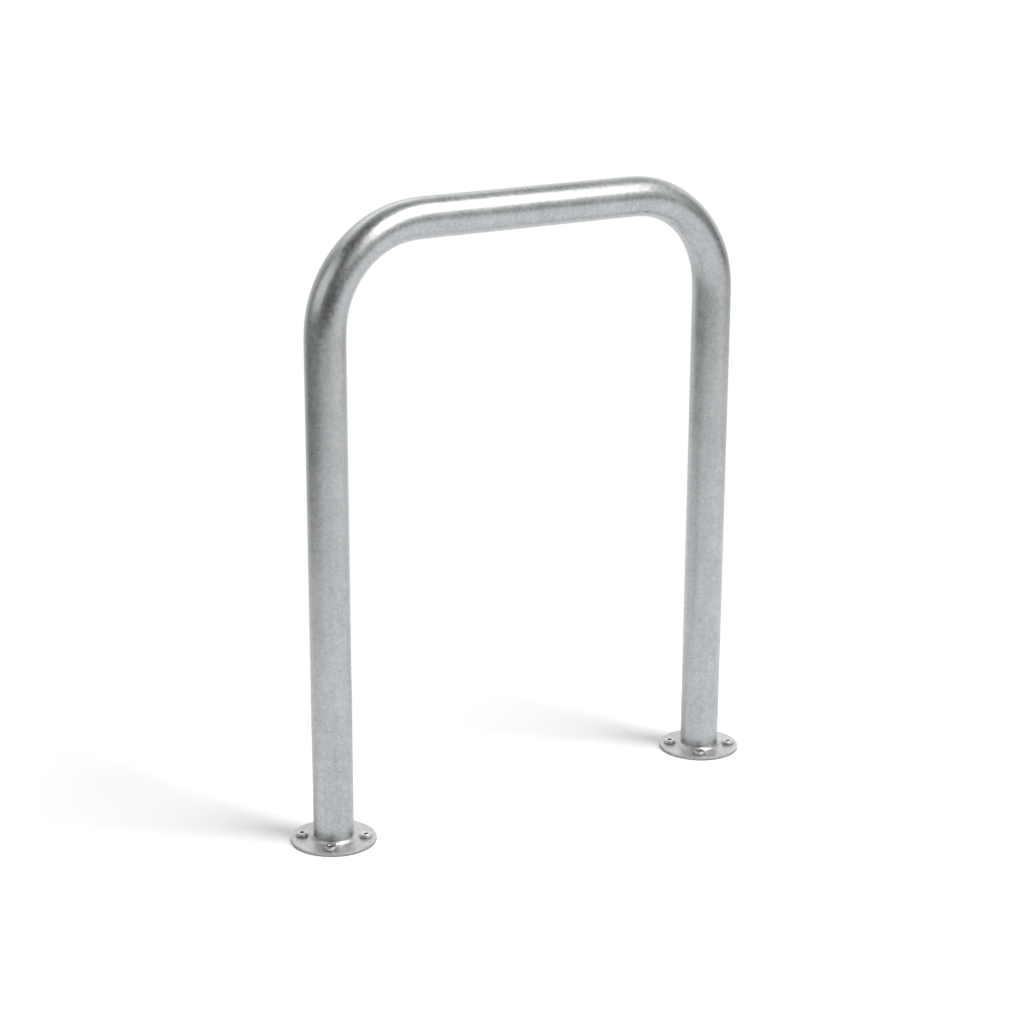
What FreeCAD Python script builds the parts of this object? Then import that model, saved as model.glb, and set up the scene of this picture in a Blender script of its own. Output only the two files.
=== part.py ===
"""Hitching post bike rack: a bent tube hoop on two flanges, each screwed into drop-in ground anchors.

Millimetres, +Z up, +X along the rack, -Y the side that faces the viewer.
The origin lies on the ground line, midway between the two legs.
"""
import FreeCAD, Part
import math
import os
import Sketcher

# Driving dimensions: alias, value, meaning
SIZES = [
    ("tube_od", 60.3, "outside diameter of the hoop tube"),
    ("tube_wall", 3.9, "wall of the hoop tube"),
    ("leg_spacing", 685, "between the centre lines of the two legs"),
    ("overall_height", 950, "ground to the top of the bar"),
    ("bend_radius", 157, "bend radius of the tube's centre line"),
    ("flange_thickness", 4.8, "thickness of a foot plate"),
    ("flange_round", 0.8, "rounding of a foot plate's upper rim"),
    ("rim_land", 7.25, "from a screw head to the foot plate's rim"),
    ("drain_land", 6.25, "from the tube's bore to the drain hole's edge"),
    ("weld_leg", 6, "leg length of the fillet weld"),
    ("weld_crown", 0.6, "how far the weld's face bulges out"),
    ("weld_gap", 0.05, "between the weld and the tube's skin"),
    ("screw_count", 4, "screws in each foot plate"),
    ("screw_angle", 55, "degrees from +X to the first screw"),
    ("screw_diameter", 10, "plain shank of a screw"),
    ("screw_length", 20, "screw from under its head to its tip"),
    ("hole_play", 1.35, "between a screw's shank and its hole in the plate"),
    ("head_bearing", 2.4, "how far a screw head reaches past its hole"),
    ("head_gap", 2.55, "from the weld's toe to a screw head"),
    ("head_land", 2.8, "straight side of a screw head"),
    ("head_dome", 3.2, "height of the dome above the straight side"),
    ("head_shoulder", 3.5, "how far the dome runs in to the flat on top"),
    ("socket_width", 6, "hex socket across its flats"),
    ("socket_depth", 3.6, "depth of the hex socket"),
    ("thread_drop", 0.5, "from a screw's shank to the thread's mean radius"),
    ("tip_chamfer", 0.8, "chamfer on a screw's tip"),
    ("thread_play", 0.05, "between a screw's thread and its shell"),
    ("tip_room", 2.3, "threaded length of a shell left below the tip"),
    ("shell_wall", 1.45, "wall of an anchor shell at its thread"),
    ("shell_recess", 0.5, "how far a shell's top lies below the ground"),
    ("plug_step", 0.55, "ledge from a shell's thread to the plug's bore"),
    ("plug_room", 9, "shell length between its thread and the plug"),
    ("plug_length", 12, "length of an expander plug"),
    ("plug_taper", 0.7, "how much a plug narrows on its radius"),
    ("plug_play", 0.05, "between a plug and its shell"),
    ("plug_recess", 2, "how far a plug stops above its shell's end"),
    ("slot_width", 1.2, "width of the slots in a shell's lower end"),
    ("slot_run", 4, "length of those slots above the plug"),
]

# Dimensions that follow from those above: alias, formula
FITS = [
    ("tube_radius", "Sizes.tube_od / 2"),
    ("bore_radius", "tube_radius - Sizes.tube_wall"),
    ("bar_rise", "Sizes.overall_height - tube_radius - Sizes.flange_thickness"),
    ("drain_radius", "bore_radius - Sizes.drain_land"),
    ("weld_inner", "tube_radius + Sizes.weld_gap"),
    ("weld_outer", "weld_inner + Sizes.weld_leg"),
    ("weld_face", "Sizes.weld_leg ^ 2 / (4 * Sizes.weld_crown) + Sizes.weld_crown / 2"),
    ("shank_radius", "Sizes.screw_diameter / 2"),
    ("hole_radius", "shank_radius + Sizes.hole_play"),
    ("head_radius", "hole_radius + Sizes.head_bearing"),
    ("flat_radius", "head_radius - Sizes.head_shoulder"),
    ("head_edge", "Sizes.screw_length + Sizes.head_land"),
    ("head_top", "head_edge + Sizes.head_dome"),
    ("socket_floor", "head_top - Sizes.socket_depth"),
    ("socket_corner", "Sizes.socket_width / sqrt(3)"),
    ("circle_radius", "weld_outer + Sizes.head_gap + head_radius"),
    ("flange_radius", "circle_radius + head_radius + Sizes.rim_land"),
    ("thread_radius", "shank_radius - Sizes.thread_drop"),
    ("thread_length", "Sizes.screw_length - Sizes.flange_thickness"),
    ("tip_radius", "thread_radius - Sizes.tip_chamfer"),
    ("shell_bore", "thread_radius + Sizes.thread_play"),
    ("shell_radius", "shell_bore + Sizes.shell_wall"),
    ("plug_bore", "shell_bore - Sizes.plug_step"),
    ("plug_mouth", "plug_bore - Sizes.plug_taper"),
    ("plug_wide", "plug_bore - Sizes.plug_play"),
    ("plug_narrow", "plug_mouth - Sizes.plug_play"),
    ("plug_top", "Sizes.plug_recess + Sizes.plug_length"),
    ("slot_length", "plug_top + Sizes.slot_run"),
    ("slot_reach", "shell_radius + Sizes.slot_width"),
    ("thread_floor", "plug_top + Sizes.plug_room"),
    ("shell_length", "thread_floor + Sizes.tip_room + thread_length - Sizes.shell_recess"),
    ("shell_depth", "shell_length + Sizes.shell_recess"),
]

# Each leg's name and its place along the rack, as an expression
LEGS = [("left", "-Sizes.leg_spacing / 2"), ("right", "Sizes.leg_spacing / 2")]

VECTOR = FreeCAD.Vector
UP = VECTOR(0, 0, 1)
FULL_TURN = 360
HEX_SIDES = 6
SLOT_COUNT = 4

# How a sketch numbers a curve's own points and its two axes
START, END, CENTRE = range(1, 4)
X_AXIS, Y_AXIS = range(-1, -3, -1)


def fill_sheets(doc):
    """Write the driving dimensions, and what follows from them, into two aliased sheets."""
    sizes = doc.addObject("Spreadsheet::Sheet", "Sizes")
    for row, (alias, number, meaning) in enumerate(SIZES, start=1):
        sizes.set(f"A{row}", str(number))
        sizes.setAlias(f"A{row}", alias)
        sizes.set(f"B{row}", meaning)
    fits = doc.addObject("Spreadsheet::Sheet", "Fits")
    for row, (alias, formula) in enumerate(FITS, start=1):
        fits.set(f"A{row}", "=" + formula)
        fits.setAlias(f"A{row}", alias)
    doc.recompute()


def cell(alias):
    """The expression that reads one cell."""
    driving = any(alias == row[0] for row in SIZES)
    return f"Sizes.{alias}" if driving else f"Fits.{alias}"


def number_in(doc, alias):
    """The number that one cell holds now, or zero for no cell."""
    if alias is None:
        return 0.0
    sheet, name = cell(alias).split(".")
    return float(doc.getObject(sheet).get(name))


def new_body(doc, label, x, y, z):
    """A body whose Placement follows three expressions."""
    body = doc.addObject("PartDesign::Body", label)
    for axis, expression in (("x", x), ("y", y), ("z", z)):
        body.setExpression(f"Placement.Base.{axis}", expression)
    return body


def new_sketch(body, plane, name):
    """A sketch on one of the body's own origin planes."""
    sketch = body.newObject("Sketcher::SketchObject", name)
    support = next(feature for feature in body.Origin.OriginFeatures if feature.Role == plane)
    sketch.AttachmentSupport = [(support, "")]
    sketch.MapMode = "FlatFace"
    return sketch


def tie(sketch, kind, *places):
    """Add a geometric constraint to a sketch."""
    sketch.addConstraint(Sketcher.Constraint(kind, *places))


def drive(sketch, alias, kind, *places):
    """Add a dimension to a sketch and bind it to a cell."""
    number = number_in(sketch.Document, alias)
    index = sketch.addConstraint(Sketcher.Constraint(kind, *places, number))
    sketch.setExpression(f"Constraints[{index}]", cell(alias))


def hold_start(sketch, side, x, y):
    """Hold the start of a side at two cells from the sketch's origin, or on an axis for None."""
    for alias, kind, axis in ((x, "DistanceX", Y_AXIS), (y, "DistanceY", X_AXIS)):
        if alias is None:
            tie(sketch, "PointOnObject", side, START, axis)
        else:
            drive(sketch, alias, kind, X_AXIS, START, side, START)


def dome_between(low, high):
    """The arc from a low point to a higher one whose centre lies on the sketch's upright axis."""
    reach = low.x ** 2 + low.y ** 2 - high.x ** 2 - high.y ** 2
    centre = VECTOR(0, reach / (2 * (low.y - high.y)))
    start, end = (math.atan2(point.y - centre.y, point.x) for point in (low, high))
    return Part.ArcOfCircle(Part.Circle(centre, UP, (low - centre).Length), start, end)


def draw_outline(sketch, corners, domed_side=None):
    """A closed outline through corners that are pairs of cells, with straight sides but for a dome."""
    points = [VECTOR(*(number_in(sketch.Document, alias) for alias in corner)) for corner in corners]
    for side, point in enumerate(points):
        following = points[(side + 1) % len(points)]
        domed = side == domed_side
        sketch.addGeometry(dome_between(point, following) if domed else Part.LineSegment(point, following))
    for side, corner in enumerate(corners):
        tie(sketch, "Coincident", (side - 1) % len(corners), END, side, START)
        hold_start(sketch, side, *corner)
    if domed_side is not None:
        tie(sketch, "PointOnObject", domed_side, CENTRE, Y_AXIS)


def draw_circle(sketch, alias, construction=False):
    """A circle around the sketch's origin."""
    circle = Part.Circle(VECTOR(), UP, number_in(sketch.Document, alias))
    ring = sketch.addGeometry(circle, construction)
    tie(sketch, "Coincident", ring, CENTRE, X_AXIS, START)
    drive(sketch, alias, "Radius", ring)
    return ring


def draw_hexagon(sketch, alias):
    """A regular hexagon around the sketch's origin, with a corner on the X axis."""
    turns = [side * 2 * math.pi / HEX_SIDES for side in range(HEX_SIDES)]
    reach = number_in(sketch.Document, alias)
    points = [VECTOR(math.cos(turn), math.sin(turn)) * reach for turn in turns]
    for side, point in enumerate(points):
        sketch.addGeometry(Part.LineSegment(point, points[(side + 1) % HEX_SIDES]))
    ring = draw_circle(sketch, alias, construction=True)
    for side in range(HEX_SIDES):
        tie(sketch, "Coincident", (side - 1) % HEX_SIDES, END, side, START)
        tie(sketch, "PointOnObject", side, START, ring)
    for side in range(1, HEX_SIDES):
        tie(sketch, "Equal", 0, side)
    tie(sketch, "PointOnObject", 0, START, X_AXIS)


def revolve(body, sketch):
    """Turn a sketch a full turn about the body's Z axis."""
    turned = body.newObject("PartDesign::Revolution", "turned")
    turned.Profile = sketch
    turned.ReferenceAxis = (sketch, ["V_Axis"])
    turned.Angle = FULL_TURN
    body.Document.recompute()


def cut_upward(body, sketch, depth=None):
    """Cut a sketch upward out of the body, to a cell's depth or right through, and see that it cut."""
    before = body.Shape.Volume
    pocket = body.newObject("PartDesign::Pocket", "pocket")
    pocket.Profile = sketch
    pocket.Reversed = True
    if depth is None:
        pocket.Type = "ThroughAll"
    else:
        pocket.setExpression("Length", cell(depth))
    body.Document.recompute()
    if not pocket.Shape.Volume < before:
        raise RuntimeError(f"{body.Label}: a pocket cut nothing")
    return pocket


def repeat_around(body, sketch, pocket):
    """Repeat a pocket evenly about the body's Z axis; the caller sets how often."""
    pattern = body.newObject("PartDesign::PolarPattern", "repeated")
    pattern.Originals = [pocket]
    pattern.Axis = (sketch, ["N_Axis"])
    pattern.Angle = FULL_TURN
    body.Tip = pattern
    return pattern


def make_hoop(doc):
    """The bent tube: a ring swept up one leg, round two bends and down the other leg."""
    body = new_body(doc, "hoop_tube", "-Sizes.leg_spacing / 2", "0", "Sizes.flange_thickness")
    width, rise, radius = (number_in(doc, alias) for alias in ("leg_spacing", "bar_rise", "bend_radius"))
    shoulder = rise - radius
    left_bend = Part.Circle(VECTOR(radius, shoulder), UP, radius)
    right_bend = Part.Circle(VECTOR(width - radius, shoulder), UP, radius)
    path = new_sketch(body, "XZ_Plane", "path")
    left_leg = path.addGeometry(Part.LineSegment(VECTOR(), VECTOR(0, shoulder)))
    left_arc = path.addGeometry(Part.ArcOfCircle(left_bend, math.pi / 2, math.pi))
    bar = path.addGeometry(Part.LineSegment(VECTOR(radius, rise), VECTOR(width - radius, rise)))
    right_arc = path.addGeometry(Part.ArcOfCircle(right_bend, 0, math.pi / 2))
    right_leg = path.addGeometry(Part.LineSegment(VECTOR(width, shoulder), VECTOR(width, 0)))
    tie(path, "Coincident", left_leg, START, X_AXIS, START)
    tie(path, "Vertical", left_leg)
    tie(path, "Horizontal", bar)
    tie(path, "Vertical", right_leg)
    tie(path, "Tangent", left_leg, END, left_arc, END)
    tie(path, "Tangent", left_arc, START, bar, START)
    tie(path, "Tangent", bar, END, right_arc, END)
    tie(path, "Tangent", right_arc, START, right_leg, START)
    tie(path, "Equal", left_arc, right_arc)
    tie(path, "PointOnObject", right_leg, END, X_AXIS)
    drive(path, "bend_radius", "Radius", left_arc)
    drive(path, "leg_spacing", "DistanceX", X_AXIS, START, right_leg, END)
    drive(path, "bar_rise", "DistanceY", X_AXIS, START, bar, START)
    ring = new_sketch(body, "XY_Plane", "ring")
    draw_circle(ring, "tube_radius")
    draw_circle(ring, "bore_radius")
    doc.recompute()
    sweep = body.newObject("PartDesign::AdditivePipe", "sweep")
    sweep.Profile = ring
    sweep.Spine = (path, [f"Edge{edge}" for edge in range(1, len(path.Shape.Edges) + 1)])
    return body


def draw_screw_hole(sketch):
    """One screw hole at the end of a spoke that starts at the sketch's origin."""
    doc = sketch.Document
    turn = math.radians(number_in(doc, "screw_angle"))
    spot = VECTOR(math.cos(turn), math.sin(turn)) * number_in(doc, "circle_radius")
    spoke = sketch.addGeometry(Part.LineSegment(VECTOR(), spot), True)
    hole = sketch.addGeometry(Part.Circle(spot, UP, number_in(doc, "hole_radius")))
    tie(sketch, "Coincident", spoke, START, X_AXIS, START)
    tie(sketch, "Coincident", spoke, END, hole, CENTRE)
    drive(sketch, "circle_radius", "Distance", spoke)
    drive(sketch, "hole_radius", "Radius", hole)
    angle = sketch.addConstraint(Sketcher.Constraint("Angle", spoke, turn))
    sketch.setExpression(f"Constraints[{angle}]", "Sizes.screw_angle * 1 deg")


def longest_upper_edge(shape):
    """The name of the longest edge in a shape's upper half."""
    middle = shape.BoundBox.Center.z
    numbered = enumerate(shape.Edges, start=1)
    upper = [(edge.Length, number) for number, edge in numbered if edge.BoundBox.ZMin > middle]
    return f"Edge{max(upper)[1]}"


def make_flange(doc, side, leg):
    """A round foot plate with a rounded upper rim, a drain hole and a circle of screw holes."""
    body = new_body(doc, f"{side}_flange", leg, "0", "0")
    disc = new_sketch(body, "XY_Plane", "disc")
    draw_circle(disc, "flange_radius")
    draw_circle(disc, "drain_radius")
    plate = body.newObject("PartDesign::Pad", "plate")
    plate.Profile = disc
    plate.setExpression("Length", cell("flange_thickness"))
    doc.recompute()
    rounding = body.newObject("PartDesign::Fillet", "rounding")
    rounding.Base = (plate, [longest_upper_edge(plate.Shape)])
    rounding.setExpression("Radius", cell("flange_round"))
    doc.recompute()
    hole = new_sketch(body, "XY_Plane", "hole")
    draw_screw_hole(hole)
    doc.recompute()
    pattern = repeat_around(body, hole, cut_upward(body, hole))
    pattern.setExpression("Occurrences", cell("screw_count"))
    return body


def make_weld(doc, side, leg):
    """A fillet weld around the foot of one leg, with a slightly bulging face."""
    body = new_body(doc, f"{side}_weld_bead", leg, "0", "Sizes.flange_thickness")
    inner, reach, face = (number_in(doc, alias) for alias in ("weld_inner", "weld_leg", "weld_face"))
    root, toe, top = VECTOR(inner, 0), VECTOR(inner + reach, 0), VECTOR(inner, reach)
    half = math.asin((toe - top).Length / 2 / face)
    centre = (toe + top) / 2 - VECTOR(1, 1).normalize() * face * math.cos(half)
    bulge = Part.Circle(centre, UP, face)
    profile = new_sketch(body, "XZ_Plane", "profile")
    foot = profile.addGeometry(Part.LineSegment(root, toe))
    skin = profile.addGeometry(Part.ArcOfCircle(bulge, math.pi / 4 - half, math.pi / 4 + half))
    back = profile.addGeometry(Part.LineSegment(top, root))
    tie(profile, "Coincident", foot, END, skin, START)
    tie(profile, "Coincident", skin, END, back, START)
    tie(profile, "Coincident", back, END, foot, START)
    tie(profile, "Horizontal", foot)
    tie(profile, "Vertical", back)
    hold_start(profile, foot, "weld_inner", None)
    drive(profile, "weld_leg", "DistanceX", foot, START, foot, END)
    drive(profile, "weld_leg", "DistanceY", back, END, back, START)
    drive(profile, "weld_face", "Radius", skin)
    doc.recompute()
    revolve(body, profile)
    return body


def make_screw(doc, label, x, y):
    """A socket screw with a domed head, a plain shank through the plate and a thread below it."""
    body = new_body(doc, label, x, y, "-Fits.thread_length")
    corners = [
        (None, None),
        ("tip_radius", None),
        ("thread_radius", "tip_chamfer"),
        ("thread_radius", "thread_length"),
        ("shank_radius", "thread_length"),
        ("shank_radius", "screw_length"),
        ("head_radius", "screw_length"),
        ("head_radius", "head_edge"),
        ("flat_radius", "head_top"),
        (None, "head_top"),
    ]
    profile = new_sketch(body, "XZ_Plane", "profile")
    draw_outline(profile, corners, domed_side=corners.index(("head_radius", "head_edge")))
    doc.recompute()
    revolve(body, profile)
    socket = new_sketch(body, "XY_Plane", "socket")
    socket.setExpression("AttachmentOffset.Base.z", cell("socket_floor"))
    draw_hexagon(socket, "socket_corner")
    doc.recompute()
    cut_upward(body, socket)
    return body


def draw_slot(sketch):
    """One slot of a shell, from its axis out past its skin."""
    reach, width = (number_in(sketch.Document, alias) for alias in ("slot_reach", "slot_width"))
    half = width / 2
    points = [VECTOR(0, -half), VECTOR(reach, -half), VECTOR(reach, half), VECTOR(0, half)]
    for side, point in enumerate(points):
        sketch.addGeometry(Part.LineSegment(point, points[(side + 1) % len(points)]))
        if side:
            tie(sketch, "Coincident", side - 1, END, side, START)
    bottom, outer, top, inner = range(len(points))
    tie(sketch, "Coincident", inner, END, bottom, START)
    for kind, sides in (("Horizontal", (bottom, top)), ("Vertical", (outer, inner))):
        for side in sides:
            tie(sketch, kind, side)
    tie(sketch, "Symmetric", bottom, START, inner, START, X_AXIS, START)
    drive(sketch, "slot_width", "DistanceY", bottom, START, inner, START)
    drive(sketch, "slot_reach", "DistanceX", bottom, START, bottom, END)


def make_shell(doc, label, x, y):
    """A drop-in anchor shell: threaded above, with a tapered bore and four slots below."""
    body = new_body(doc, label, x, y, "-Fits.shell_depth")
    profile = new_sketch(body, "XZ_Plane", "profile")
    draw_outline(profile, [
        ("plug_mouth", None),
        ("shell_radius", None),
        ("shell_radius", "shell_length"),
        ("shell_bore", "shell_length"),
        ("shell_bore", "thread_floor"),
        ("plug_bore", "thread_floor"),
        ("plug_bore", "plug_top"),
        ("plug_mouth", "plug_recess"),
    ])
    doc.recompute()
    revolve(body, profile)
    slot = new_sketch(body, "XY_Plane", "slot")
    draw_slot(slot)
    doc.recompute()
    pattern = repeat_around(body, slot, cut_upward(body, slot, "slot_length"))
    pattern.Occurrences = SLOT_COUNT
    return body


def make_plug(doc, label, x, y):
    """A tapered expander plug, seated in the lower end of its shell."""
    body = new_body(doc, label, x, y, "Sizes.plug_recess - Fits.shell_depth")
    profile = new_sketch(body, "XZ_Plane", "profile")
    draw_outline(profile, [
        (None, None),
        ("plug_narrow", None),
        ("plug_wide", "plug_length"),
        (None, "plug_length"),
    ])
    doc.recompute()
    revolve(body, profile)
    return body


def make_anchors(doc, side, leg):
    """The screws of one foot plate, each with its shell and plug, counted from the first screw's angle."""
    bodies = []
    for number in range(1, int(number_in(doc, "screw_count")) + 1):
        turn = f"(Sizes.screw_angle + {number - 1} * {FULL_TURN} / Sizes.screw_count) * 1 deg"
        x = f"{leg} + Fits.circle_radius * cos({turn})"
        y = f"Fits.circle_radius * sin({turn})"
        bodies.append(make_screw(doc, f"{side}_anchor_screw_{number}", x, y))
        bodies.append(make_shell(doc, f"{side}_anchor_shell_{number}", x, y))
        bodies.append(make_plug(doc, f"{side}_expander_plug_{number}", x, y))
    return bodies


def write_steps(doc, bodies):
    """Check every object and shape, then write each piece to a file of its own."""
    for item in doc.Objects:
        if {"Invalid", "Error"} & set(item.State):
            raise RuntimeError(f"{item.Label}: {item.State}")
    for body in bodies:
        if body.Shape.isNull() or not body.Shape.isValid() or len(body.Shape.Solids) != 1:
            raise RuntimeError(f"{body.Label}: not one valid solid")
    os.makedirs("parts", exist_ok=True)
    for body in bodies:
        body.Shape.exportStep(f"parts/{body.Label}.step")


def main():
    doc = FreeCAD.newDocument("hitching_post_rack")
    fill_sheets(doc)
    bodies = [make_hoop(doc)]
    for side, leg in LEGS:
        bodies.append(make_flange(doc, side, leg))
        bodies.append(make_weld(doc, side, leg))
        bodies.extend(make_anchors(doc, side, leg))
    doc.recompute()
    write_steps(doc, bodies)


main()
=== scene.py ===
"""Looks of the hitching post bike rack: a galvanised hoop on two welded, screwed-down plates."""

import math

import bpy
from mathutils import Matrix, Vector


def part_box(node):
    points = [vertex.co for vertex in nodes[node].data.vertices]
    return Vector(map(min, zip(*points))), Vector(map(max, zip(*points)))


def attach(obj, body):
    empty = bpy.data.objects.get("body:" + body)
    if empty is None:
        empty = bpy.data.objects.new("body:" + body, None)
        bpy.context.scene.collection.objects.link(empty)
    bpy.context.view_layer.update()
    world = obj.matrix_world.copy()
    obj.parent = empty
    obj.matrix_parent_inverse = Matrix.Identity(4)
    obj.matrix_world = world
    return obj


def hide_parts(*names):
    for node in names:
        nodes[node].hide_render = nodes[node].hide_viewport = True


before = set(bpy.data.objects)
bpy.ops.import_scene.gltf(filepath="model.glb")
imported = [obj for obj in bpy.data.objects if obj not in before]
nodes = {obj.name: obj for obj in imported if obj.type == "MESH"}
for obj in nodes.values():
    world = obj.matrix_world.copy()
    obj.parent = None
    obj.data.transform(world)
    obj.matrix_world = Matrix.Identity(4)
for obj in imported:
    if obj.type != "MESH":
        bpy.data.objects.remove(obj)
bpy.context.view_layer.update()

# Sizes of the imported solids, in metres

tube_low, tube_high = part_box("hoop_tube")
TUBE_R = (tube_high.y - tube_low.y) / 2
TUBE_WALL = 0.0039
FOOT_Z = tube_low.z
LEG_X = tube_high.x - TUBE_R
BAR_Z = tube_high.z - TUBE_R
PLATE_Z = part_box("left_flange")[1].z
SIDES = {"left": -LEG_X, "right": LEG_X}


# Meshes

SHARP_ANGLE = math.radians(38)


def loft(name, rings, straight=None, capped=False):
    """A closed skin over rings of equal point counts, capped at its ends or joined last to first."""
    count, around = len(rings), len(rings[0])
    faces = []
    for ring in range(count - 1 if capped else count):
        for spot in range(around):
            next_ring, next_spot = (ring + 1) % count, (spot + 1) % around
            corners = [(ring, spot), (ring, next_spot), (next_ring, next_spot), (next_ring, spot)]
            faces.append(tuple(i * around + j for i, j in corners))
    if capped:
        faces.append(tuple(reversed(range(around))))
        faces.append(tuple(range((count - 1) * around, count * around)))
    mesh = bpy.data.meshes.new(name)
    mesh.from_pydata([point for ring in rings for point in ring], [], faces)
    if straight:
        unbent = mesh.attributes.new("straight", "FLOAT_VECTOR", "POINT")
        unbent.data.foreach_set("vector", [x for point in straight for x in point])
    mesh.shade_smooth()
    mesh.set_sharp_from_angle(angle=SHARP_ANGLE)
    made = bpy.data.objects.new(name, mesh)
    bpy.context.scene.collection.objects.link(made)
    return made


def stand_for(piece, node, material):
    """Put a new piece in the place of a solid."""
    piece.data.materials.append(material)
    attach(piece, "root")
    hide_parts(node)


# Hoop

AROUND = 96
LEG_RINGS, BEND_RINGS, BAR_RINGS = 14, 64, 5
BEND_FINE = 20  # small steps from one ring of a bend to the next
BEND_R = 0.153
BEND_EASE = 0.045  # length over which a bend comes in, and goes out again
FLATTENING = 0.065  # share by which the tube is thinner in the middle of a bend


def bend_stations():
    """The bend above the left leg: its steps right and up, how far it has turned, and its flattening."""
    length = math.pi / 2 * BEND_R + BEND_EASE
    small = length / (BEND_RINGS * BEND_FINE)
    place = Vector((0, 0, 0))
    turn = 0.0
    stations = []
    for step in range(BEND_RINGS * BEND_FINE + 1):
        run = step * small
        if step % BEND_FINE == 0:
            stations.append((place.copy(), turn, math.sin(math.pi * run / length) ** 2))
        begun = run + small / 2
        left = length - run - small / 2
        turned = small / BEND_R * min(1.0, begun / BEND_EASE, left / BEND_EASE)
        middle = turn + turned / 2
        place += small * Vector((math.sin(middle), 0, math.cos(middle)))
        turn += turned
    return stations


def hoop_stations():
    """Centres of the tube from foot to foot, how far it has turned there, and its flattening."""
    bend = bend_stations()
    foot = Vector((-LEG_X, 0, FOOT_Z))
    start = Vector((-LEG_X, 0, BAR_Z - bend[-1][0].z))
    top = Vector((0, 0, BAR_Z))
    level = math.pi / 2
    half = [(start.lerp(foot, step / LEG_RINGS), 0.0, 0.0) for step in range(LEG_RINGS, 0, -1)]
    half += [(start + place, turn, flat) for place, turn, flat in bend]
    end = half[-1][0]
    half += [(end.lerp(top, step / BAR_RINGS), level, 0.0) for step in range(1, BAR_RINGS)]
    other_half = [
        (Vector((-place.x, 0, place.z)), math.pi - turn, flat) for place, turn, flat in reversed(half)
    ]
    return half + [(top, level, 0.0)] + other_half


def tube_ring(station, run, radius):
    """One ring of the bent tube, and the same ring of the tube before it was bent."""
    centre, turn, flat = station
    outward = Vector((-math.cos(turn), 0, math.sin(turn)))
    ring, unbent = [], []
    for step in range(AROUND):
        angle = 2 * math.pi * step / AROUND
        across = radius * (1 - FLATTENING * flat) * math.cos(angle)
        aside = radius * (1 + FLATTENING / 2 * flat) * math.sin(angle)
        ring.append(centre + outward * across + Vector((0, aside, 0)))
        unbent.append((radius * math.cos(angle), radius * math.sin(angle), run))
    return ring, unbent


def make_hoop():
    """The bent tube with its bore, a little flattened in the bends as real ones are."""
    stations = hoop_stations()
    runs = [0.0]
    for before, after in zip(stations, stations[1:]):
        runs.append(runs[-1] + (after[0] - before[0]).length)
    places = list(zip(stations, runs))
    pairs = [tube_ring(*place, TUBE_R) for place in places]
    pairs += [tube_ring(*place, TUBE_R - TUBE_WALL) for place in reversed(places)]
    return loft("hoop", [ring for ring, _ in pairs], [point for _, unbent in pairs for point in unbent])


# Weld beads

WELD_LEG = 0.005
WELD_BITE = 0.00005  # how far a bead reaches into the tube and the plate
WELD_HOLLOW = 1.3  # power that hollows the face; 1 is flat
WELD_UNEVEN = 0.08  # share by which a bead's height and width vary
WIDTH_PHASE = 2  # sets the wave of the width apart from the wave of the height
WAVES = [(3, 0.45), (5, 0.3), (9, 0.25)]  # turns around the foot, and size
RIPPLES = 40
RIPPLE_STEPS = 10
RIPPLE_HEIGHT = 0.00014
RIPPLE_DRIFT = 0.4  # how unevenly the ripples follow each other
CHEVRON = 0.35  # how far a ripple lags at the two edges of a bead
BEAD_STEPS = 12


def wander(angle, phase):
    """A smooth uneven wave around a foot, between about -1 and 1."""
    return sum(size * math.sin(turns * angle + phase * turns) for turns, size in WAVES)


def bead_section(angle, phase):
    """Points across a weld at one place around the foot, as radius and height."""
    high = WELD_LEG * (1 + WELD_UNEVEN * wander(angle, phase))
    wide = WELD_LEG * (1 + WELD_UNEVEN * wander(angle, phase + WIDTH_PHASE))
    inner, bottom = TUBE_R - WELD_BITE, FOOT_Z - WELD_BITE
    section = [(inner, bottom)]
    for step in range(BEAD_STEPS + 1):
        share = step / BEAD_STEPS
        arch = math.sin(math.pi * share)
        lag = CHEVRON * (2 * share - 1) ** 2
        ripple = abs(math.sin(RIPPLES / 2 * angle + lag + RIPPLE_DRIFT * wander(angle, phase)))
        lift = arch * RIPPLE_HEIGHT * ripple / math.sqrt(2)
        radius = inner + wide * (1 - share) ** WELD_HOLLOW + lift
        section.append((radius, bottom + high * share ** WELD_HOLLOW + lift))
    return section


def make_bead(side, x, phase):
    """A fillet weld around one foot, with the ripples of its passes."""
    rings = []
    for step in range(RIPPLES * RIPPLE_STEPS):
        angle = -2 * math.pi * step / (RIPPLES * RIPPLE_STEPS)
        toward = Vector((math.cos(angle), math.sin(angle), 0))
        section = bead_section(angle, phase)
        rings.append([Vector((x, 0, height)) + toward * radius for radius, height in section])
    return loft(f"{side}_bead", rings)


# Screws

SCREW_AROUND = 48
SOCKET_FLATS = 0.0064
SOCKET_DEPTH = 0.0036
SOCKET_FLARE = 0.0007
DRILL_R = SOCKET_FLATS / 8  # end of the cone that the drill leaves in the socket's floor
DRILL_DROP = SOCKET_DEPTH / 8
HEAD_ROUND = 0.0017
HEAD_STEPS = 6
SHANK_R = 0.005
SHANK_DROP = 0.0048
THREAD_R = 0.0045
THREAD_DEPTH = 0.0006
THREAD_PITCH = 0.0015
THREAD_STEPS = 8
TIP_CHAMFER = 0.0008


def circle(centre, radius, height):
    """A level ring of points; the radius may depend on the angle."""
    ring = []
    for step in range(SCREW_AROUND):
        angle = 2 * math.pi * step / SCREW_AROUND
        away = radius(angle) if callable(radius) else radius
        ring.append(Vector((centre.x + away * math.cos(angle), centre.y + away * math.sin(angle), height)))
    return ring


def hexagon(grow):
    """Distance from the middle to a hexagon's side, by angle."""
    sixth = math.pi / 3
    return lambda angle: (SOCKET_FLATS / 2 + grow) / math.cos(angle % sixth - sixth / 2)


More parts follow.
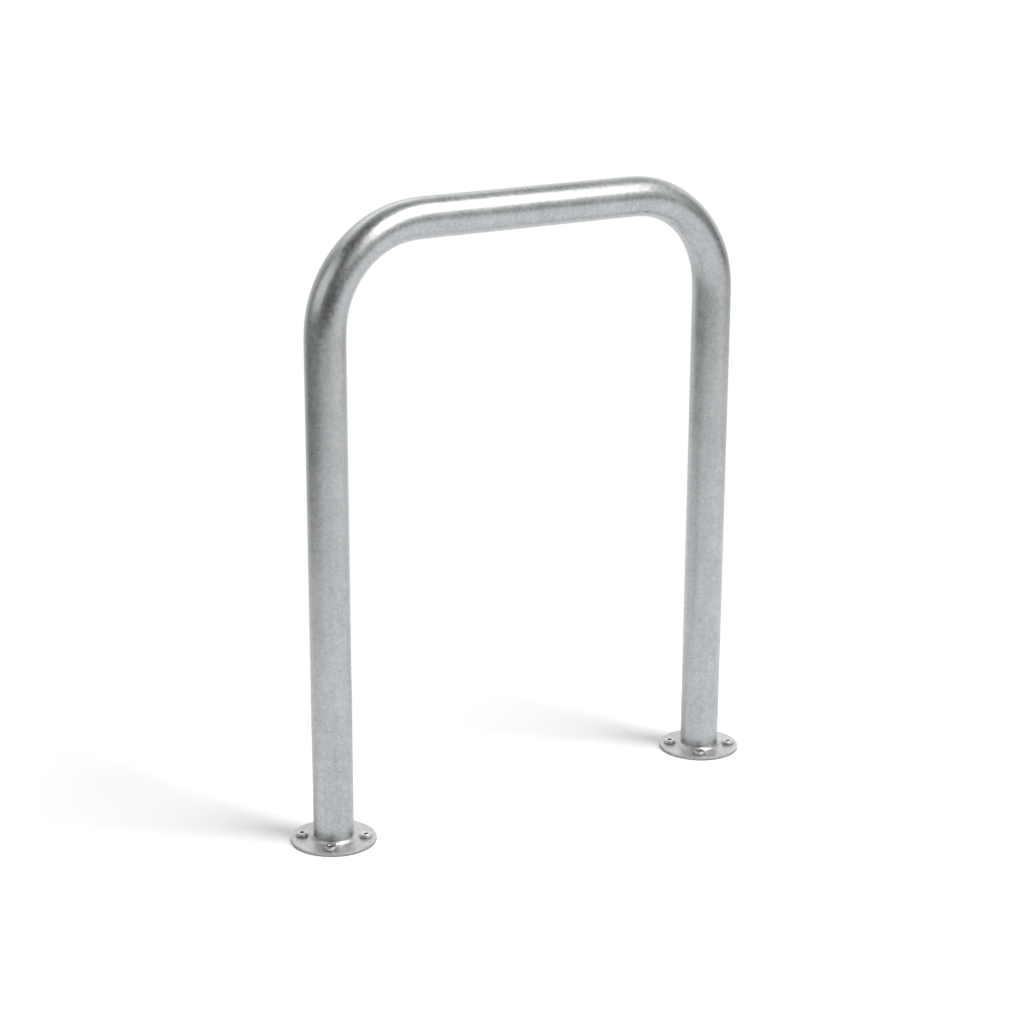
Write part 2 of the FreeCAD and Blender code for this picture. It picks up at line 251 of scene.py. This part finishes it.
def thread(height):
    """Radius of a right-hand thread at one height, by angle."""
    def radius(angle):
        tooth = (height / THREAD_PITCH - angle / (2 * math.pi)) % 1
        return THREAD_R - THREAD_DEPTH * abs(2 * tooth - 1)
    return radius


def socket_rings(centre, top):
    """Rings of the hex socket, from its floor up to its flared rim."""
    floor = top - SOCKET_DEPTH
    return [
        circle(centre, DRILL_R, floor - DRILL_DROP),
        circle(centre, hexagon(0), floor),
        circle(centre, hexagon(0), top - SOCKET_FLARE),
        circle(centre, hexagon(SOCKET_FLARE), top),
    ]


def head_rings(centre, top, head_r):
    """Rings of the head's flat top and rounded rim, down to its seat on the plate."""
    flat_r = head_r - HEAD_ROUND
    rings = [circle(centre, (flat_r + SOCKET_FLATS / 2) / 2, top)]
    for step in range(HEAD_STEPS + 1):
        turn = math.pi / 2 * step / HEAD_STEPS
        drop = HEAD_ROUND * (1 - math.cos(turn))
        rings.append(circle(centre, flat_r + HEAD_ROUND * math.sin(turn), top - drop))
    return rings + [circle(centre, head_r, PLATE_Z)]


def shank_rings(centre, tip):
    """Rings of the plain shank and the thread below it, down to the chamfered tip."""
    start = PLATE_Z - SHANK_DROP
    rings = [circle(centre, SHANK_R, PLATE_Z), circle(centre, SHANK_R, start)]
    step = THREAD_PITCH / THREAD_STEPS
    count = int((start - TIP_CHAMFER - tip) / step)
    for level in range(count + 1):
        height = start - level * step
        rings.append(circle(centre, thread(height), height))
    return rings + [circle(centre, THREAD_R - THREAD_DEPTH - TIP_CHAMFER, tip)]


def make_screw(name, low, high):
    """A socket screw in the box of its solid: low round-edged head, plain shank, threaded end."""
    centre = (low + high) / 2
    rings = socket_rings(centre, high.z)
    rings += head_rings(centre, high.z, (high.x - low.x) / 2)
    rings += shank_rings(centre, low.z)
    return loft(name, list(reversed(rings)), capped=True)


# Node helpers

def feed(tree, socket, value):
    """Link a socket to another node's output, or set its value."""
    if isinstance(value, bpy.types.NodeSocket):
        tree.links.new(value, socket)
    else:
        socket.default_value = value


def add(tree, kind, inputs, **settings):
    """Add one shader node and fill its sockets."""
    made = tree.nodes.new("ShaderNode" + kind)
    for setting, value in settings.items():
        setattr(made, setting, value)
    for socket, value in inputs.items():
        feed(tree, made.inputs[socket], value)
    return made


def math_node(tree, operation, *values):
    """One sum of numbers."""
    return add(tree, "Math", dict(enumerate(values)), operation=operation).outputs[0]


def vector_node(tree, operation, *values):
    """One sum of vectors that gives a vector."""
    return add(tree, "VectorMath", dict(enumerate(values)), operation=operation).outputs["Vector"]


def measure_node(tree, operation, *values):
    """One sum of vectors that gives a number."""
    return add(tree, "VectorMath", dict(enumerate(values)), operation=operation).outputs["Value"]


def remap(tree, value, before, after=(0.0, 1.0), kind="LINEAR"):
    """A number carried from one range to another and held at the ends."""
    ends = dict(zip(("From Min", "From Max", "To Min", "To Max"), (*before, *after)))
    return add(tree, "MapRange", {"Value": value, **ends}, interpolation_type=kind).outputs["Result"]


def span(tree, pattern, low, high):
    """A 0 to 1 pattern stretched to run from low to high."""
    return remap(tree, pattern, (0.0, 1.0), (low, high))


def mixed(tree, factor, first, second):
    """The first colour where a pattern is 0 and the second where it is 1."""
    return add(tree, "MixRGB", {"Fac": factor, "Color1": first, "Color2": second}).outputs[0]


def upward(tree, vector):
    """The Z part of a vector."""
    return add(tree, "SeparateXYZ", {0: vector}).outputs["Z"]


def unbent_place(tree):
    """Coordinates on the tube as it was before bending."""
    return add(tree, "Attribute", {}, attribute_name="straight").outputs["Vector"]


def object_place(tree):
    """Coordinates in metres in the part's own frame."""
    return add(tree, "TexCoord", {}).outputs["Object"]


def surface_normal(tree):
    """The direction that a surface faces."""
    return add(tree, "NewGeometry", {}).outputs["Normal"]


def noise(tree, where, size, detail):
    """A pattern from 0 to 1 with blotches of about this size in metres."""
    return add(tree, "TexNoise", {"Vector": where, "Scale": 1 / size, "Detail": detail}).outputs["Fac"]


def stretched(tree, where, scale):
    """Coordinates scaled along each axis."""
    return add(tree, "Mapping", {"Vector": where, "Scale": scale}).outputs[0]


def crystals(tree, where, size):
    """A random colour for each zinc crystal of about this size in metres."""
    return add(tree, "TexVoronoi", {"Vector": where, "Scale": 1 / size}).outputs["Color"]


def leaning(tree, cells, lean):
    """The surface normal, leaning another way on each crystal."""
    aside = vector_node(tree, "SUBTRACT", cells, (0.5,) * 3)
    leant = vector_node(tree, "MULTIPLY_ADD", aside, (lean,) * 3, surface_normal(tree))
    return vector_node(tree, "NORMALIZE", leant)


def pits(tree, where, spacing, radius):
    """1 in the middle of small round pits this far apart, up to this large, and 0 elsewhere."""
    cells = add(tree, "TexVoronoi", {"Vector": where, "Scale": 1 / spacing}).outputs
    chosen = add(tree, "SeparateColor", {0: cells["Color"]}).outputs[1]
    reach = math_node(tree, "MULTIPLY", chosen, radius / spacing)
    return remap(tree, cells["Distance"], (0.0, reach), (1.0, 0.0))


def blend_of(tree, patterns, weights):
    """Patterns added up by weight, each by how far it is from 0.5, around 0.5."""
    total = 0.5 - sum(weights.values()) / 2
    for name, weight in weights.items():
        total = math_node(tree, "MULTIPLY_ADD", patterns[name], weight, total)
    return total


def ramp(tree, factor, stops):
    """Colours along a 0 to 1 pattern."""
    made = add(tree, "ValToRGB", {"Fac": factor})
    elements = made.color_ramp.elements
    for element, (position, colour) in zip(elements, (stops[0], stops[-1])):
        element.position = position
        element.color = (*colour, 1)
    for position, colour in stops[1:-1]:
        elements.new(position).color = (*colour, 1)
    return made.outputs["Color"]


def metal(name, metallic=1.0):
    """A new metallic material: itself, its tree and its shader."""
    material = bpy.data.materials.new(name)
    material.use_nodes = True
    shader = material.node_tree.nodes["Principled BSDF"]
    shader.inputs["Metallic"].default_value = metallic
    return material, material.node_tree, shader


def bumped(tree, shader, height, depth, normal=None):
    """Give a shader a relief of this depth in metres, on its own normal or on another."""
    relief = add(tree, "Bump", {"Strength": 1.0, "Distance": depth, "Height": height})
    if normal:
        feed(tree, relief.inputs["Normal"], normal)
    feed(tree, shader.inputs["Normal"], relief.outputs["Normal"])


# Materials

TONE_STOPS = (0.2, 0.5, 0.8)
PIT_TONE = (0.08, 0.085, 0.09)
# Painted shade where surfaces meet, from ambient occlusion: its tone, reach in metres, power and samples
CREVICE_SHADE_TONE = (0.16, 0.16, 0.155)
CREVICE_SHADE_REACH = 0.0055
CREVICE_SHADE_POWER = 1.1
CREVICE_SHADE_SAMPLES = 8
# Painted shade on upright rims and in a thin line just above the ground
RIM_SLOPE = (0.2, 0.8)  # Z of the normal on an upright rim, and on a level face
# Painted contact shade in a thin line just above the ground: its height in metres and its tone
GROUND_SHADE_HEIGHT = 0.0016
GROUND_SHADE_TONE = 0.3

# Zinc: size in metres and detail of each pattern
GRAIN = (0.0018, 1.0)
PEEL = (0.006, 2.0)
RUNS = (0.009, 3.0)
RUN_STRETCH = (1, 1, 0.08)
CLOUD = (0.045, 4.0)
PITS = (0.03, 0.0017)  # spacing and largest radius
WARP = 0.6  # waves per crystal that bend the crystals' outlines
LEAN = 0.028  # how far the normal of a small crystal leans
LEAN_SIZE = 0.002

# Zinc: weights of the patterns
ZINC_TONE = {"flakes": 0.28, "grain": 0.9, "cloud": 0.6, "runs": 0.3}
ZINC_GLOSS = {"flakes": 0.35, "grain": 0.5, "cloud": 0.6}
ZINC_RELIEF = {"grain": 0.75, "flakes": 0.1, "peel": 0.8, "pits": -0.6}

# Turned steel: the same, and the depth of its relief in metres
HAZE = (0.004, 3.0)
FINE_GRAIN = (0.0007, 2.0)
STEEL_TONE = {"haze": 0.7, "rings": 0.4, "grain": 0.3}
STEEL_GLOSS = {"haze": 0.8, "rings": 0.5}
STEEL_RELIEF = {"rings": 0.6, "grain": 0.3}
STEEL_DEPTH = 0.00002


def toned(tree, pattern, tones):
    """Dark, middle and light tones along a pattern."""
    return ramp(tree, pattern, list(zip(TONE_STOPS, tones)))


def with_crevice_shade(tree, colour):
    """A colour with painted shade where surfaces meet, darker where ambient occlusion finds them close."""
    open_air = add(tree, "AmbientOcclusion", {"Distance": CREVICE_SHADE_REACH}, samples=CREVICE_SHADE_SAMPLES)
    unshaded = math_node(tree, "POWER", open_air.outputs["AO"], CREVICE_SHADE_POWER)
    return mixed(tree, unshaded, (*CREVICE_SHADE_TONE, 1), colour)


def with_rim_and_ground_shade(tree, colour, rim_shade):
    """A colour with painted shade: darker by this factor on upright rims, and in a thin line just above
    the ground.
    """
    rim_shading = remap(tree, upward(tree, surface_normal(tree)), RIM_SLOPE, (rim_shade, 1.0))
    ground_shading = remap(tree, upward(tree, object_place(tree)), (0.0, GROUND_SHADE_HEIGHT), (GROUND_SHADE_TONE, 1.0))
    shade = math_node(tree, "MULTIPLY", rim_shading, ground_shading)
    return add(tree, "VectorMath", {0: colour, "Scale": shade}, operation="SCALE").outputs["Vector"]


def zinc_patterns(tree, where, crystal):
    """Crystals, how they lean, fine grain, orange peel, slow clouds, runs along the work and pits."""
    warp = add(tree, "TexNoise", {"Vector": where, "Scale": WARP / crystal}).outputs["Color"]
    bent = vector_node(tree, "MULTIPLY_ADD", warp, (crystal,) * 3, where)
    return {
        "flakes": add(tree, "SeparateColor", {0: crystals(tree, bent, crystal)}).outputs[0],
        "leans": crystals(tree, bent, LEAN_SIZE),
        "grain": noise(tree, where, *GRAIN),
        "peel": noise(tree, where, *PEEL),
        "cloud": noise(tree, where, *CLOUD),
        "runs": noise(tree, stretched(tree, where, RUN_STRETCH), *RUNS),
        "pits": pits(tree, where, *PITS),
    }


def galvanised(name, where_of, tones, crystal, gloss, depth, rim_shade=1.0, metallic=1.0):
    """Hot-dip zinc in three tones, with crystals of this size, a range of gloss and a depth of relief."""
    material, tree, shader = metal(name, metallic)
    patterns = zinc_patterns(tree, where_of(tree), crystal)
    colour = toned(tree, blend_of(tree, patterns, ZINC_TONE), tones)
    pitted = mixed(tree, patterns["pits"], colour, (*PIT_TONE, 1))
    # Base colour with painted shade on upright rims, in a line along the ground and where surfaces meet
    feed(tree, shader.inputs["Base Color"], with_crevice_shade(tree, with_rim_and_ground_shade(tree, pitted, rim_shade)))
    feed(tree, shader.inputs["Roughness"], span(tree, blend_of(tree, patterns, ZINC_GLOSS), *gloss))
    relief = blend_of(tree, patterns, ZINC_RELIEF)
    bumped(tree, shader, relief, depth, leaning(tree, patterns["leans"], LEAN))
    return material


def turned_steel(name, tones, gloss, fineness):
    """Bright plated steel with lathe rings of this fineness about each piece's own axis."""
    material, tree, shader = metal(name)
    own = add(tree, "TexCoord", {}).outputs
    centred = vector_node(tree, "SUBTRACT", own["Generated"], (0.5, 0.5, 0.0))
    radius = measure_node(tree, "LENGTH", stretched(tree, centred, (1, 1, 0)))
    outward = math_node(tree, "MULTIPLY", radius, fineness)
    patterns = {
        "rings": add(tree, "TexNoise", {"W": outward}, noise_dimensions="1D").outputs["Fac"],
        "haze": noise(tree, own["Object"], *HAZE),
        "grain": noise(tree, own["Object"], *FINE_GRAIN),
    }
    colour = toned(tree, blend_of(tree, patterns, STEEL_TONE), tones)
    # Base colour with painted shade where surfaces meet
    feed(tree, shader.inputs["Base Color"], with_crevice_shade(tree, colour))
    feed(tree, shader.inputs["Roughness"], span(tree, blend_of(tree, patterns, STEEL_GLOSS), *gloss))
    bumped(tree, shader, blend_of(tree, patterns, STEEL_RELIEF), STEEL_DEPTH)
    return material


TUBE_TONES = [(0.43, 0.448, 0.455), (0.528, 0.545, 0.559), (0.625, 0.638, 0.656)]
PLATE_TONES = [(0.535, 0.54, 0.535), (0.655, 0.66, 0.652), (0.755, 0.76, 0.75)]
WELD_TONES = [(0.58, 0.585, 0.575), (0.7, 0.705, 0.695), (0.81, 0.815, 0.805)]
SCREW_TONES = [(0.6, 0.61, 0.605), (0.73, 0.735, 0.725), (0.84, 0.84, 0.825)]
ANCHOR_TONES = [(0.5, 0.46, 0.33), (0.6, 0.56, 0.42), (0.66, 0.64, 0.54)]

zinc_tube = galvanised(
    "zinc_tube", unbent_place, TUBE_TONES, crystal=0.005, gloss=(0.22, 0.4), depth=0.00012
)
# The plate gets painted shade on its upright rims
zinc_plate = galvanised(
    "zinc_plate", object_place, PLATE_TONES, crystal=0.004, gloss=(0.3, 0.5), depth=0.0001,
    rim_shade=0.8, metallic=0.8,
)
zinc_weld = galvanised(
    "zinc_weld", object_place, WELD_TONES, crystal=0.003, gloss=(0.3, 0.46), depth=0.00006
)
bright_steel = turned_steel("bright_steel", SCREW_TONES, gloss=(0.28, 0.42), fineness=60.0)
plated_steel = turned_steel("plated_steel", ANCHOR_TONES, gloss=(0.24, 0.42), fineness=50.0)

# Dressing

stand_for(make_hoop(), "hoop_tube", zinc_tube)
for phase, (side, x) in enumerate(SIDES.items()):
    stand_for(make_bead(side, x, phase), f"{side}_weld_bead", zinc_weld)

for name in [name for name in nodes if "anchor_screw" in name]:
    stand_for(make_screw(name.replace("anchor_", ""), *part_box(name)), name, bright_steel)

FINISHES = [
    ("flange", "galvanised_plate", zinc_plate),
    ("anchor_shell", "plated_anchor", plated_steel),
    ("expander_plug", "plated_anchor", plated_steel),
]
for word, slot, material in FINISHES:
    for name, solid in nodes.items():
        if word in name:
            solid.data.materials.clear()
            solid.data.materials.append(material)

# White room: its even light, and its floor of painted paper that turns into plain white further out

WHITE = (1, 1, 1)
ROOM_LIGHT = 0.5
FLOOR_REACH = 60.0
FLOOR_TONE = 0.9
FLOOR_GLOW = 0.17
FLOOR_FADE = (0.6, 0.85)  # distances at which the paint starts to fade and is gone

# Sides on which the floor is dimmer in a mirror: direction, start and end in metres, tone at the end
PAPER_SHADES = [
    ((-0.8, 0.6, 0), (0.4, 2.2), 0.62),
    ((1.0, 0.2, 0), (1.8, 4.6), 0.62),
    ((-0.5, -0.85, 0), (2.7, 4.4), 0.58),
]

# Flags: dark screens that shape the reflections, with tones by azimuth, and heights in degrees

WALL_TONES = [
    (-180, 0.95), (-150, 0.8), (-135, 0.27), (-65, 0.09), (-40, 0.12),
    (-10, 0.36), (20, 0.52), (45, 0.42), (85, 0.25), (110, 0.45),
]
LOW_TONES = [
    (-130, 0.9), (-120, 0.4), (-105, 0.15), (-50, 0.1), (-20, 0.28),
    (10, 0.8), (50, 0.72), (75, 0.34), (95, 0.4),
]
HIGH_TONES = [
    (-140, 0.95), (-130, 0.45), (-115, 0.1), (-50, 0.1), (-25, 0.4),
    (20, 0.5), (60, 0.5), (85, 0.6), (110, 0.55), (135, 0.46),
]
CEILING_TONES = [
    (-180, 0.5), (-140, 0.22), (-110, 0.06), (-50, 0.08),
    (20, 0.75), (60, 0.62), (110, 0.32), (140, 0.36), (180, 0.5),
]
WALL_CENTRE, WALL_R = Vector((1.3, -1.6, 0)), 4.0
SKY_CENTRE, SKY_R = Vector((0, 0, 0.5)), 6.5
FLAGS = [
    ("wall_flags", WALL_TONES, (0, 30), WALL_CENTRE, WALL_R),
    ("low_flags", LOW_TONES, (10, 35), SKY_CENTRE, SKY_R),
    ("high_flags", HIGH_TONES, (35, 60), SKY_CENTRE, SKY_R),
    ("ceiling_flags", CEILING_TONES, (60, 90), SKY_CENTRE, SKY_R),
]
FLAG_STEP = 5
FLAG_TINT = (0.98, 1.0, 0.975)

# Lamps: name, azimuth and height in degrees, distance and size in metres, brightness, colour

KEY_COLOUR = (1.0, 0.966, 0.942)
METAL_LAMPS = [
    ("key", 23.5, 50.8, 2.5, (2.1, 1.9), 3.1, KEY_COLOUR),
    ("key_left", -18, 40, 2.5, (0.6, 1.7), 0.55, KEY_COLOUR),
    ("key_right", 70, 52, 2.5, (0.7, 1.3), 0.8, KEY_COLOUR),
    ("left_strip", -98, 22, 1.7, (1.4, 1.15), 0.72, WHITE),
    ("back", 176, 33, 2.5, (2.0, 1.3), 0.7, WHITE),
]
FLOOR_LAMP = ("floor_light", 35, 50, 20.0, (8.6, 9.8), 12.2, WHITE)


# Studio

def direction(azimuth, height):
    """A unit vector; azimuth 0 is in front of the rack and 90 on its right, in degrees."""
    turn, rise = math.radians(azimuth), math.radians(height)
    return Vector((math.sin(turn) * math.cos(rise), -math.cos(turn) * math.cos(rise), math.sin(rise)))


def seen(tree):
    """1 for rays that show the background: straight, mirrored or through glass."""
    path = add(tree, "LightPath", {}).outputs
    straight_or_mirrored = math_node(tree, "MAXIMUM", path["Is Camera Ray"], path["Is Glossy Ray"])
    return math_node(tree, "MAXIMUM", straight_or_mirrored, path["Is Transmission Ray"])


def stage_material(name, shader_of, *details):
    """A material of the studio, with only the shader that the given function adds."""
    material = bpy.data.materials.new(name)
    material.use_nodes = True
    tree = material.node_tree
    tree.nodes.clear()
    add(tree, "OutputMaterial", {"Surface": shader_of(tree, *details)})
    return material


def link_stage(name, mesh, material):
    """Add a piece of the studio."""
    mesh.materials.append(material)
    made = bpy.data.objects.new(name, mesh)
    bpy.context.scene.collection.objects.link(made)
    return made


def paper_tone(tree):
    """How bright the white floor is in a mirror, by place."""
    tone = 1.0
    for side, reach, end in PAPER_SHADES:
        aside = measure_node(tree, "DOT_PRODUCT", object_place(tree), side)
        tone = math_node(tree, "MULTIPLY", remap(tree, aside, reach, (1.0, end)), tone)
    return tone


def floor_shader(tree):
    """Painted paper that keeps the shadows and glows a little to the camera, then plain white."""
    straight = add(tree, "LightPath", {}).outputs["Is Camera Ray"]
    paint = add(tree, "BsdfDiffuse", {"Color": (FLOOR_TONE, FLOOR_TONE, FLOOR_TONE, 1)})
    glow = add(tree, "Emission", {"Strength": math_node(tree, "MULTIPLY", straight, FLOOR_GLOW)})
    near = add(tree, "AddShader", {0: paint.outputs[0], 1: glow.outputs[0]})
    tone = math_node(tree, "MAXIMUM", straight, paper_tone(tree))
    far = add(tree, "Emission", {"Strength": math_node(tree, "MULTIPLY", seen(tree), tone)})
    away = measure_node(tree, "LENGTH", object_place(tree))
    fade = remap(tree, away, FLOOR_FADE, kind="SMOOTHSTEP")
    return add(tree, "MixShader", {0: fade, 1: near.outputs[0], 2: far.outputs[0]}).outputs[0]


def make_floor():
    """A wide white floor under the rack."""
    mesh = bpy.data.meshes.new("floor")
    corners = [(-1, -1), (1, -1), (1, 1), (-1, 1)]
    mesh.from_pydata([(FLOOR_REACH * x, FLOOR_REACH * y, 0) for x, y in corners], [], [(0, 1, 2, 3)])
    link_stage("floor", mesh, stage_material("white_floor", floor_shader))


def flag_shader(tree, tones):
    """A dim glow in tones by azimuth, along a gradient that starts and ends behind the rack."""
    turned = add(tree, "Mapping", {"Vector": object_place(tree), "Rotation": (0, 0, math.pi / 2)})
    gradient = add(tree, "TexGradient", {"Vector": turned.outputs[0]}, gradient_type="RADIAL")
    stops = [(azimuth / 360 + 0.5, [tone * part for part in FLAG_TINT]) for azimuth, tone in tones]
    colour = ramp(tree, gradient.outputs["Fac"], stops)
    return add(tree, "Emission", {"Color": colour, "Strength": 1.0}).outputs[0]


def make_flags(name, tones, heights, centre, radius):
    """Screens between two heights, which only reflections see."""
    corners = [(0, 0), (1, 0), (1, 1), (0, 1)]
    points, faces = [], []
    for azimuth in range(tones[0][0], tones[-1][0], FLAG_STEP):
        for height in range(*heights, FLAG_STEP):
            faces.append(tuple(range(len(points), len(points) + len(corners))))
            for x, y in corners:
                points.append(radius * direction(azimuth + FLAG_STEP * x, height + FLAG_STEP * y))
    mesh = bpy.data.meshes.new(name)
    mesh.from_pydata(points, [], faces)
    flags = link_stage(name, mesh, stage_material(name, flag_shader, tones))
    flags.location = centre
    flags.visible_camera = False
    flags.visible_diffuse = False
    flags.visible_shadow = False


def make_lamp(name, azimuth, height, away, size, brightness, colour):
    """A soft box that faces the top of the rack; brightness is what a mirror would show."""
    lamp = bpy.data.lights.new(name, "AREA")
    lamp.shape = "RECTANGLE"
    lamp.size, lamp.size_y = size
    lamp.energy = brightness * math.pi * size[0] * size[1]
    lamp.color = colour
    back = direction(azimuth, height)
    made = bpy.data.objects.new(name, lamp)
    made.location = Vector((0, 0, BAR_Z)) + back * away
    made.rotation_euler = (-back).to_track_quat("-Z", "Y").to_euler()
    bpy.context.scene.collection.objects.link(made)
    return made


def make_world():
    """A white background for what is seen and a dimmer even light for what is lit."""
    world = bpy.data.worlds.new("white_room")
    world.use_nodes = True
    tree = world.node_tree
    shader = tree.nodes["Background"]
    shader.inputs["Color"].default_value = (*WHITE, 1)
    feed(tree, shader.inputs["Strength"], span(tree, seen(tree), ROOM_LIGHT, 1.0))
    bpy.context.scene.world = world


# Camera, as fitted to the photograph

CAMERA_AIM = Vector((-0.0269, 0, 0.4596))
CAMERA_AWAY = 3.5813
CAMERA_YAW = math.radians(33.339)
CAMERA_PITCH = math.radians(16.45)
CAMERA_ROLL = math.radians(0.263)
CAMERA_LENS = 83.425


def make_camera():
    """The photograph's point of view."""
    level = math.cos(CAMERA_PITCH)
    ahead = Vector((math.sin(CAMERA_YAW) * level, math.cos(CAMERA_YAW) * level, -math.sin(CAMERA_PITCH)))
    right = Vector((math.cos(CAMERA_YAW), -math.sin(CAMERA_YAW), 0))
    facing = Matrix((right, right.cross(ahead), -ahead)).transposed()
    turned = facing @ Matrix.Rotation(CAMERA_ROLL, 3, "Z")
    data = bpy.data.cameras.new("camera")
    data.lens = CAMERA_LENS
    camera = bpy.data.objects.new("camera", data)
    camera.matrix_world = Matrix.Translation(CAMERA_AIM - CAMERA_AWAY * ahead) @ turned.to_4x4()
    bpy.context.scene.collection.objects.link(camera)
    bpy.context.scene.camera = camera


make_floor()
for flag in FLAGS:
    make_flags(*flag)
for lamp in METAL_LAMPS:
    make_lamp(*lamp).visible_diffuse = False
make_lamp(*FLOOR_LAMP).visible_glossy = False
make_world()
make_camera()
bpy.context.scene.view_settings.view_transform = "Standard"
